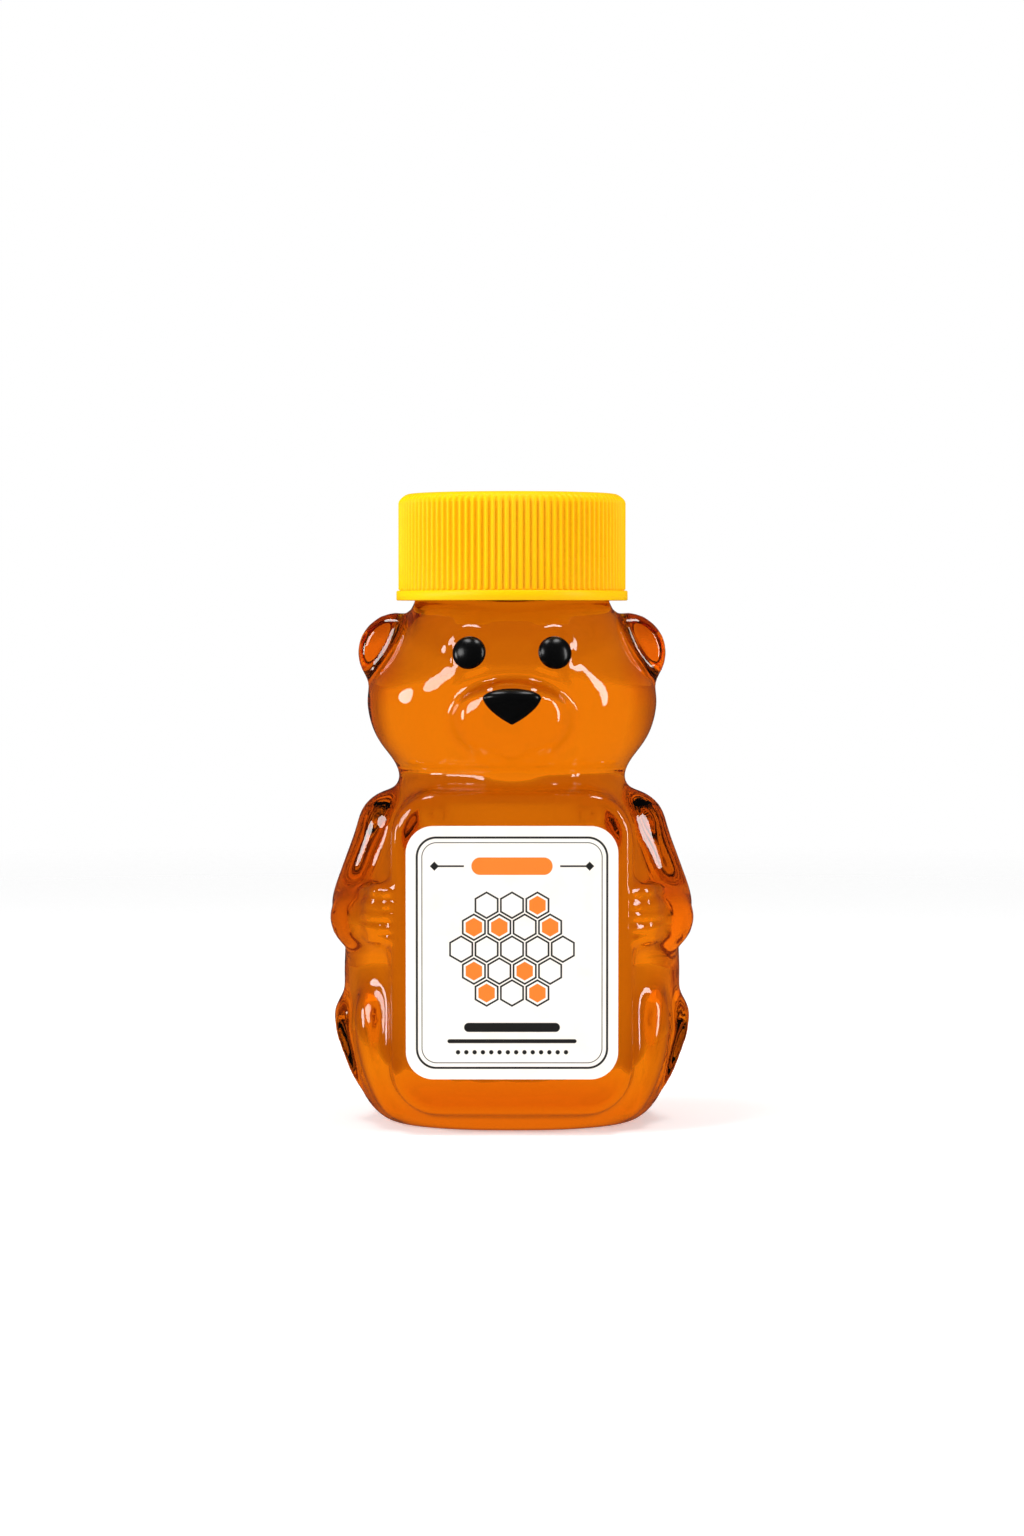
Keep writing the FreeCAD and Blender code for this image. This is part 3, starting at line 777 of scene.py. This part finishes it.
def rounded_box(rise, half_width, half_height, corner):
    beyond_side = (abs(across) - (half_width - corner)) | 0.0
    beyond_end = (abs(up - rise) - (half_height - corner)) | 0.0
    return length_of(beyond_side, beyond_end) - corner


print("label: middle at", LABEL_MIDDLE, "mm")

# %% [markdown]
# ## A patch of honeycomb
# Hexagons lie on two grids of oblongs, one shifted by half a cell each way. The nearer of the two grid
# points is the middle of the cell, and the distance to the cell's edge follows from it. Only whole cells
# near the middle are kept, and a White Noise node picks the ones that are filled.

# %% Honeycomb print
CELL, COMB_RISE, COMB_REACH = 2.75, 0.4, 2.1
COMB_INSET, COMB_LINE, FILL_INSET, LEFT_OPEN = 0.17, 0.2, 0.48, 0.62
ROW = math.sqrt(3)
cell_across, cell_up = across * (1 / CELL), (up - COMB_RISE) * (1 / CELL)


def from_grid(value, shift, step):
    """Signed way to the nearest line of a grid with this step."""
    return wire.maths("FLOORED_MODULO", value - shift, step) - step / 2


first = from_grid(cell_across, 0, 1), from_grid(cell_up, 0, ROW)
second = from_grid(cell_across, 0.5, 1), from_grid(cell_up, ROW / 2, ROW)
nearer = length_of(*first) < length_of(*second)
way_across, way_up = (nearer * one + (1 - nearer) * other for one, other in zip(first, second))
hexagon = (abs(way_across) * 0.5 + abs(way_up) * (ROW / 2)) | abs(way_across)
to_edge = (0.5 - hexagon) * CELL
middle_across, middle_up = cell_across - way_across, cell_up - way_up
in_patch = length_of(middle_across, middle_up) < COMB_REACH
cell_place = wire.node("CombineXYZ", inputs={
    0: wire.maths("ROUND", middle_across * 2), 1: wire.maths("ROUND", middle_up * 2)})
chosen = wire.node("TexWhiteNoise", inputs={"Vector": cell_place}) > LEFT_OPEN
comb_lines = in_patch * stroke(to_edge - COMB_INSET, COMB_LINE)
comb_fill = in_patch * chosen * inked(FILL_INSET - to_edge)
print("honeycomb:", len(paper.node_tree.nodes), "nodes so far")

# %% [markdown]
# ## Bars and rules
# A double frame runs round the paper, a rounded bar between two rules stands over the comb, and a bar, a
# rule and a row of dots close the sheet below. A box is given by its rise from the label's middle, its
# half width, its half height and the radius of its corners.

# %% Bars and rules
OUTER_FRAME, INNER_FRAME = (0, 10.3, 12.5, 2.1), (0, 9.75, 11.95, 1.6)
OUTER_LINE, INNER_LINE, RULE_LINE = 0.24, 0.1, 0.2
BAR_RISE, RULE_START, RULE_END, DIAMOND = 9.4, 5.2, 8.4, 0.5
TOP_BAR, LOW_BAR, LOW_RULE = (BAR_RISE, 4.4, 0.95, 0.95), (-8.1, 5.2, 0.5, 0.5), (-9.6, 7.0, 0.22, 0.22)
DOT_STEP, DOT_FALL, DOT_RADIUS, DOT_REACH = 0.9, 10.8, 0.24, 6.3
frame_lines = stroke(rounded_box(*OUTER_FRAME), OUTER_LINE) | stroke(rounded_box(*INNER_FRAME), INNER_LINE)
bar = inked(rounded_box(*TOP_BAR))
side_rules = stroke(up - BAR_RISE, RULE_LINE) * (abs(across) > RULE_START) * (abs(across) < RULE_END)
diamonds = inked(abs(abs(across) - RULE_END) + abs(up - BAR_RISE) - DIAMOND)
low_bars = inked(rounded_box(*LOW_BAR)) | inked(rounded_box(*LOW_RULE))
dot_way = wire.maths("FLOORED_MODULO", across, DOT_STEP) - DOT_STEP / 2
dots = inked(length_of(dot_way, up + DOT_FALL) - DOT_RADIUS) * (abs(across) < DOT_REACH)
print("bars and rules:", len(paper.node_tree.nodes), "nodes so far")

# %% [markdown]
# ## Paper and inks
# The paper is cream with faint clouds, and the ink is a little smoother than the paper. Only the front
# is printed, because the back shows through the honey.

# %% Paper and inks
PRINT_DEPTH = 0.03
CREAM, PALE_CREAM = (0.96, 0.87, 0.77, 1), (0.98, 0.94, 0.88, 1)
ORANGE, INK_BLACK = (0.86, 0.21, 0.012, 1), (0.012, 0.011, 0.01, 1)
in_front = place_along(wire, Y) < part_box("front_label")[0][1] + PRINT_DEPTH * MM
black_ink = in_front * (comb_lines | frame_lines | side_rules | diamonds | low_bars | dots)
orange_ink = in_front * (comb_fill | bar)
clouds = noise(wire, 260, detail=5.0, roughness=0.6)
bare_paper = (clouds * 1.6 - 0.3).mix(CREAM, PALE_CREAM)
printed = black_ink.mix(orange_ink.mix(bare_paper, ORANGE), INK_BLACK)
feed(paper_shader, Base_Color=printed, Roughness=0.58 - (black_ink | orange_ink) * 0.15,
     Normal=bumped(wire, noise(wire, 3000), 0.1, 0.03 * MM))
print("label finish:", len(paper.node_tree.nodes), "nodes")

# %% [markdown]
# ## Every piece gets its finish
# CAD nodes with the right shape keep it and only change their material. The soft skin, the honey, the
# nose and the ribbed cap stand for their nodes, and the cap's thread is added to the cap.

# %% Dress the pieces
def dress(mesh, material):
    mesh.materials.clear()
    mesh.materials.append(material)
    for face in mesh.polygons:
        face.material_index = 0


for node, material in (
    ("cap_liner", board), ("front_label", paper), ("left_eye", black), ("right_eye", black),
):
    dress(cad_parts[node].data, material)
for piece, material in ((cap, yellow), (cap_thread, yellow), (nose, black)):
    dress(piece.data, material)
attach(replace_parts(skin, "bottle_shell"), "bottle")
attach(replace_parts(honey, "honey_fill"), "bottle")
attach(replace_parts(nose, "nose"), "bottle")
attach(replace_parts(cap, "screw_cap"), "cap")
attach(cap_thread, "cap")
print("pieces:", skin.name, honey.name, nose.name, cap.name, cap_thread.name)

# %% [markdown]
# ## Floor
# A pale round floor fades into the white surround, so no horizon shows. Clear things look like what is
# around them: the bottle turns its view upside down, so its upper curves show the floor. Seen through
# the bottle the floor near it is painted brown, a painted shade that makes those curves deep amber.

# %% Floor
FLOOR_RADIUS, FLOOR_FADE, SHADE_FADE = 0.7, (0.1, 0.5), (0.03, 0.4)
FLOOR_WHITE, FLOOR_PAINTED_SHADE, FLOOR_GLOW = (0.93, 0.93, 0.93, 1), (0.5, 0.4, 0.3, 1), 0.35
select()
bpy.ops.mesh.primitive_circle_add(vertices=96, radius=FLOOR_RADIUS, fill_type="NGON")
floor = settled("floor")
floor_paint, floor_shader, wire = finish("floor_white", Roughness=0.5, Emission_Strength=FLOOR_GLOW)
away = wire.node("VectorMath", output="Value", inputs={0: place_of(wire)}, operation="LENGTH")
# Painted shade: seen through the bottle, the floor near it turns brown.
shaded = away.ramp(*SHADE_FADE, 1.0, 0.0) * wire.node("LightPath", output="Is Transmission Ray")
feed(floor_shader, Alpha=away.ramp(*FLOOR_FADE, 1.0, 0.0), Base_Color=shaded.mix(FLOOR_WHITE, FLOOR_PAINTED_SHADE),
     Emission_Color=wire.node("LightPath", output="Is Camera Ray").mix(BLACK, WHITE))
floor.data.materials.append(floor_paint)
floor.visible_glossy = False
print("floor: radius", FLOOR_RADIUS, "m")

# %% [markdown]
# ## Surround
# The world is plain white to the camera and through the bottle, where it dims a little overhead. It
# lights the pieces at less than half of that, and it is nearly dark in reflections, so that only the
# lamps glint on the plastic.

# %% Surround
AMBIENT, IN_REFLECTIONS = 0.42, 0.03
OVERHEAD, OVERHEAD_LIGHT = (0.4, 0.9), 0.5
world = bpy.data.worlds.new("surround")
scene.world = world
world.use_nodes = True
sky = Wire(world.node_tree)
height = sky.node("SeparateXYZ", output=Z, inputs={0: sky.node("TexCoord", output="Generated")})
open_sky = height.ramp(*OVERHEAD, 1.0, OVERHEAD_LIGHT)
seen, reflected, through = (
    sky.node("LightPath", output=f"Is {ray} Ray") for ray in ("Camera", "Glossy", "Transmission"))
strength = AMBIENT + seen * (1 - AMBIENT) + through * (open_sky - AMBIENT) - (
    reflected * (1 - through) * (AMBIENT - IN_REFLECTIONS))
background = world.node_tree.nodes["Background"]
background.inputs["Color"].default_value = WHITE
world.node_tree.links.new(strength.socket, background.inputs["Strength"])
print("surround:", len(world.node_tree.nodes), "nodes")

# %% [markdown]
# ## Brown cards
# Clear things need something dark at their sides, or their edges are lost on white. Photographers stand
# dark cards there. These two are only seen through the bottle, and they fade out, so no edge shows.

# %% Brown cards beside the bottle
CARD_AWAY, CARD_BACK, CARD_REACH, CARD_HEIGHT = 0.2, 0.1, 0.18, 0.22
CARD_BROWN, FADE_ALONG, FADE_UP = (0.56, 0.46, 0.36, 1), 0.3, 0.4
card_paint, card_shader, wire = finish(
    "card_brown", Base_Color=BLACK, Roughness=1.0, Emission_Color=CARD_BROWN, Emission_Strength=1.0)
along = abs(place_along(wire, Y) - CARD_BACK).ramp(CARD_REACH * FADE_ALONG, CARD_REACH, 1.0, 0.0)
above = place_along(wire, Z).ramp(CARD_HEIGHT * FADE_UP, CARD_HEIGHT, 1.0, 0.0)
feed(card_shader, Alpha=along * above)
for side in SIDES:
    select()
    bpy.ops.mesh.primitive_plane_add(
        size=1, location=(side * CARD_AWAY, CARD_BACK, CARD_HEIGHT / 2), rotation=(0, math.pi / 2, 0))
    bpy.context.object.scale = (CARD_HEIGHT, CARD_REACH * 2, 1)
    card = settled("brown_card")
    card.data.materials.append(card_paint)
    card.visible_camera = False
    card.visible_diffuse = False
    card.visible_glossy = False
    card.visible_shadow = False
print("brown cards:", len(SIDES))

# %% [markdown]
# ## Lamps
# Soft boxes at the left, a tall strip at the right and two boxes overhead give the glints on the plastic
# and model the cap. They are elliptical, because a square one would draw hard corners in a glint, and
# they aren't seen through the bottle, where they would burn out.

# %% Lamps
LAMPS_AIM = Vector((0, 0, 0.035))
LAMPS = (
    ("left_box", (-0.42, -0.3, 0.25), (0.25, 0.25), 1.6),
    ("low_left_box", (-0.5, -0.06, 0.1), (0.15, 0.18), 0.75),
    ("right_strip", (0.46, -0.2, 0.17), (0.1, 0.4), 1.2),
    ("left_top_box", (-0.14, -0.05, 0.5), (0.22, 0.12), 0.75),
    ("right_top_box", (0.14, -0.05, 0.5), (0.22, 0.12), 0.75),
)
for name, place, size, power in LAMPS:
    lamp = bpy.data.lights.new(name, "AREA")
    lamp.shape = "ELLIPSE"
    lamp.size, lamp.size_y = size
    lamp.energy = power
    holder = bpy.data.objects.new(name, lamp)
    scene.collection.objects.link(holder)
    holder.location = place
    holder.visible_transmission = False
    holder.rotation_euler = (LAMPS_AIM - Vector(place)).to_track_quat("-Z", "Y").to_euler()
print("lamps:", len(LAMPS))

# %% [markdown]
# ## Camera
# The camera stands straight in front, at about the height of the bear's brow, and looks down by two
# degrees. A long lens keeps the sides of the bottle nearly parallel.

# %% Camera
CAMERA_DISTANCE, CAMERA_HEIGHT, CAMERA_TILT = 0.426, 0.0568, 2.35
CAMERA_LENS, NEAREST = 89.0, 0.01
lens = bpy.data.cameras.new("camera")
lens.lens = CAMERA_LENS
lens.clip_start = NEAREST
camera = bpy.data.objects.new("camera", lens)
scene.collection.objects.link(camera)
camera.location = (0, -CAMERA_DISTANCE, CAMERA_HEIGHT)
camera.rotation_euler = Euler((math.radians(90 - CAMERA_TILT), 0, 0))
scene.camera = camera
print("camera:", CAMERA_LENS, "mm lens")
